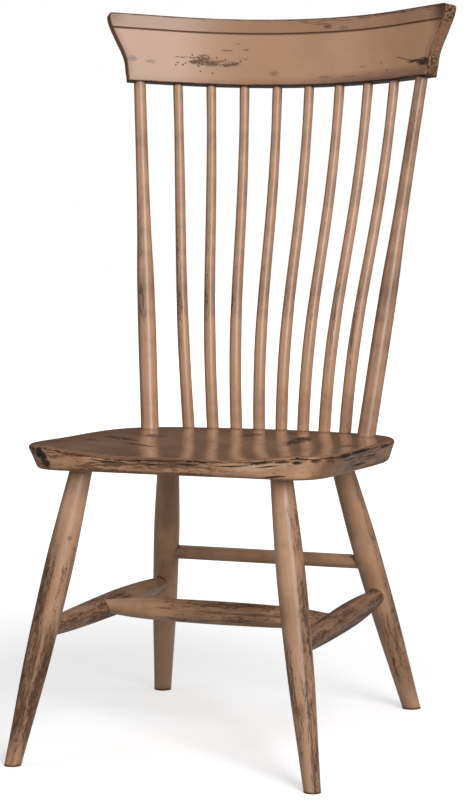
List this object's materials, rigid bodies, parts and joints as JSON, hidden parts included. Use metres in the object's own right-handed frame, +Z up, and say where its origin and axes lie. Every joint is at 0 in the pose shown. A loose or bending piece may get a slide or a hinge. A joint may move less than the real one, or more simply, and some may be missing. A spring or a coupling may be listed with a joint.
{
  "type": "painted plank-seat side chair",
  "caption": "Painted side chair with a saddled plank seat, splayed turned legs and stretchers, two tapered back posts, bent spindles and a bowed crest rail with ogee ends.",
  "frame": {"origin": "on the floor, under the centre of the chair's bounding box", "axes": "+Z up, -Y towards the sitter's front, +X towards the right of a viewer who faces the chair's front"},
  "size_m": [0.582, 0.6382, 1.1162],
  "materials": {
    "crest_paint": "satin tan milk paint, brown glaze rubbed into edges, worn patches",
    "back_paint": "satin tan milk paint, brown glaze towards the edges and joints",
    "seat_paint": "darker brown glazed paint with a gloss varnish, distressed edges",
    "leg_paint": "satin tan milk paint with long brown glaze streaks",
    "stretcher_paint": "satin tan milk paint with long brown glaze streaks, worn upper faces"
  },
  "bodies": {
    "root": {"crest_rail": "crest_paint", "back_post_left": "back_paint", "back_post_right": "back_paint", "spindle_1": "back_paint", "spindle_2": "back_paint", "spindle_3": "back_paint", "spindle_4": "back_paint", "spindle_5": "back_paint", "spindle_6": "back_paint", "spindle_7": "back_paint", "spindle_8": "back_paint", "seat_board_front": "seat_paint", "seat_board_middle": "seat_paint", "seat_board_rear": "seat_paint", "leg_front_left": "leg_paint", "leg_front_right": "leg_paint", "leg_rear_left": "leg_paint", "leg_rear_right": "leg_paint", "side_stretcher_left": "stretcher_paint", "side_stretcher_right": "stretcher_paint", "centre_stretcher": "stretcher_paint", "rear_stretcher": "stretcher_paint"}
  },
  "joints": []
}
